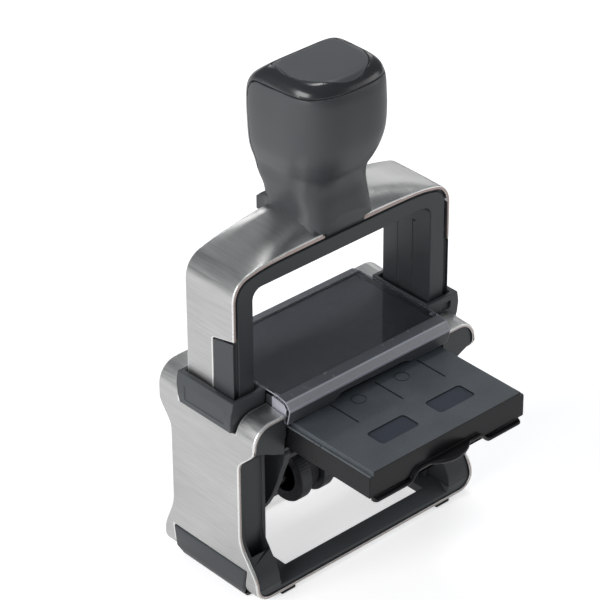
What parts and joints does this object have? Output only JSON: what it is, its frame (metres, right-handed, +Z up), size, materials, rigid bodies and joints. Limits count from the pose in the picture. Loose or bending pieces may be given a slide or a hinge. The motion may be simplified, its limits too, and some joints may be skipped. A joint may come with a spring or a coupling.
{
  "type": "self-inking date stamp",
  "caption": "Self-inking dater: a bridge handle with a knob slides down through a steel housing and turns the die carriage from the ink pad to the paper; pad drawer pulled out.",
  "frame": {"origin": "centre of the imprint, on the paper under the housing", "axes": "+X along the bridge handle, -Y the side where the ink pad drawer comes out, +Z up towards the knob"},
  "size_m": [0.0922, 0.0813, 0.1595],
  "materials": {
    "brushed_steel": "brushed along its width",
    "black_plastic": "fine matt",
    "collar_plastic": "fine matt",
    "pad_plastic": "fine grain",
    "knob_soft": "soft touch",
    "gloss_black": "gloss",
    "panel_matt": "satin",
    "clear_cover": "clear moulded plastic",
    "card": "plain card",
    "rubber_feet": "matt",
    "spring_steel": "bright drawn wire and screws",
    "pin_steel": "ground",
    "die_rubber": "matt",
    "band_rubber": "matt",
    "wheel_plastic": "satin",
    "ink_felt": "inked felt"
  },
  "bodies": {
    "housing": {"housing_frame": "brushed_steel", "side_guide_left": "black_plastic", "side_guide_right": "black_plastic", "base_ring": "black_plastic", "foot_left": "black_plastic", "foot_right": "black_plastic", "corner_feet": "rubber_feet", "collar_left": "collar_plastic", "collar_right": "collar_plastic", "pad_deck": "black_plastic", "index_card": "card", "window_cover": "clear_cover", "return_spring_left": "spring_steel", "return_spring_right": "spring_steel", "spring_post_left": "black_plastic", "spring_post_right": "black_plastic", "housing_screws": "spring_steel"},
    "handle": {"bridge_skin": "brushed_steel", "bridge_core": "black_plastic", "knob_grip": "knob_soft", "knob_cap": "gloss_black", "knob_panel": "panel_matt", "knob_screws": "spring_steel", "axle_pin_left": "pin_steel", "axle_pin_right": "pin_steel"},
    "carriage": {"carriage_frame": "black_plastic", "text_plate": "black_plastic", "rubber_die": "die_rubber", "band_frame": "pin_steel", "wheel_axle": "pin_steel", "date_band_1": "band_rubber", "date_band_2": "band_rubber", "date_band_3": "band_rubber", "date_band_4": "band_rubber"},
    "wheel_1": {"setting_wheel_1": "wheel_plastic"},
    "wheel_2": {"setting_wheel_2": "wheel_plastic"},
    "wheel_3": {"setting_wheel_3": "wheel_plastic"},
    "wheel_4": {"setting_wheel_4": "wheel_plastic"},
    "drawer": {"pad_case": "pad_plastic", "ink_felt": "ink_felt"}
  },
  "joints": [
    {"name": "handle_slide", "type": "slide", "parent": "housing", "child": "handle", "axis": [0, 0, -1], "range_m": [0, 0.0325], "stiffness_N_per_m": 600, "springref_m": -0.01, "deforming": ["return_spring_left", "return_spring_right"]},
    {"name": "carriage_flip", "type": "hinge", "parent": "handle", "child": "carriage", "pos_m": [0, 0, 0.04105], "axis": [1, 0, 0], "range_deg": [0, 180]},
    {"name": "drawer_slide", "type": "slide", "parent": "housing", "child": "drawer", "axis": [0, -1, 0], "range_m": [-0.032, 0.003]},
    {"name": "date_wheel_1", "type": "hinge", "parent": "carriage", "child": "wheel_1", "pos_m": [0, 0, 0.02385], "axis": [1, 0, 0], "continuous": true},
    {"name": "date_wheel_2", "type": "hinge", "parent": "carriage", "child": "wheel_2", "pos_m": [0, 0, 0.02385], "axis": [1, 0, 0], "continuous": true},
    {"name": "date_wheel_3", "type": "hinge", "parent": "carriage", "child": "wheel_3", "pos_m": [0, 0, 0.02385], "axis": [1, 0, 0], "continuous": true},
    {"name": "date_wheel_4", "type": "hinge", "parent": "carriage", "child": "wheel_4", "pos_m": [0, 0, 0.02385], "axis": [1, 0, 0], "continuous": true}
  ],
  "couplings": [
    {"joint": "carriage_flip", "follows": "handle_slide", "rad_per_m": 96.664}
  ]
}
